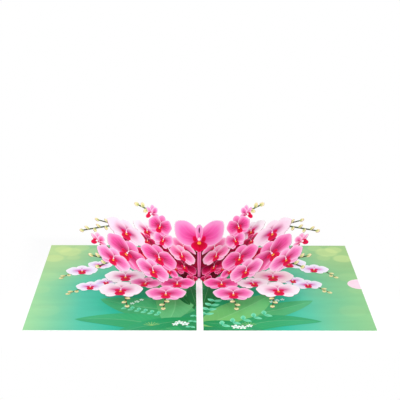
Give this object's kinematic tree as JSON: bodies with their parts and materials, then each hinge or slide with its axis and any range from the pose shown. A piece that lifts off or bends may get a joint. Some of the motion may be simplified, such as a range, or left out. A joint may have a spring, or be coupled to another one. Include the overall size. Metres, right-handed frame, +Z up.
{
  "type": "pop up card",
  "caption": "Open pop-up greeting card: green printed pages in a folded cover, with tiered die-cut orchid sprays rising from the spine.",
  "frame": {"origin": "on the table, under the middle of the spine of the open card", "axes": "+X to the right across both pages, +Y to the far edge along the spine, +Z up"},
  "size_m": [0.3066, 0.2016, 0.0751],
  "materials": {
    "cover_card": "smooth matt card, white inside, pale pink outside",
    "tape": "thin double-sided tape",
    "page_print": "satin printed paper",
    "note_paper": "pale pink paper",
    "flower_print": "satin printed paper, white back and edges",
    "plain_card": "plain white paper"
  },
  "bodies": {
    "root": {"cover": "cover_card", "tape_left": "tape", "tape_right": "tape", "page_left": "page_print", "page_right": "page_print", "note_card": "note_paper", "wings": "flower_print", "front_spray": "flower_print", "back_spray": "flower_print", "centre_orchid": "flower_print", "upright_spray_left": "flower_print", "low_spray_left": "flower_print", "front_spacer_left": "plain_card", "back_spacer_left": "plain_card", "low_leg_inner_left": "plain_card", "low_leg_outer_left": "plain_card", "upright_spray_right": "flower_print", "low_spray_right": "flower_print", "front_spacer_right": "plain_card", "back_spacer_right": "plain_card", "low_leg_inner_right": "plain_card", "low_leg_outer_right": "plain_card"}
  },
  "joints": []
}
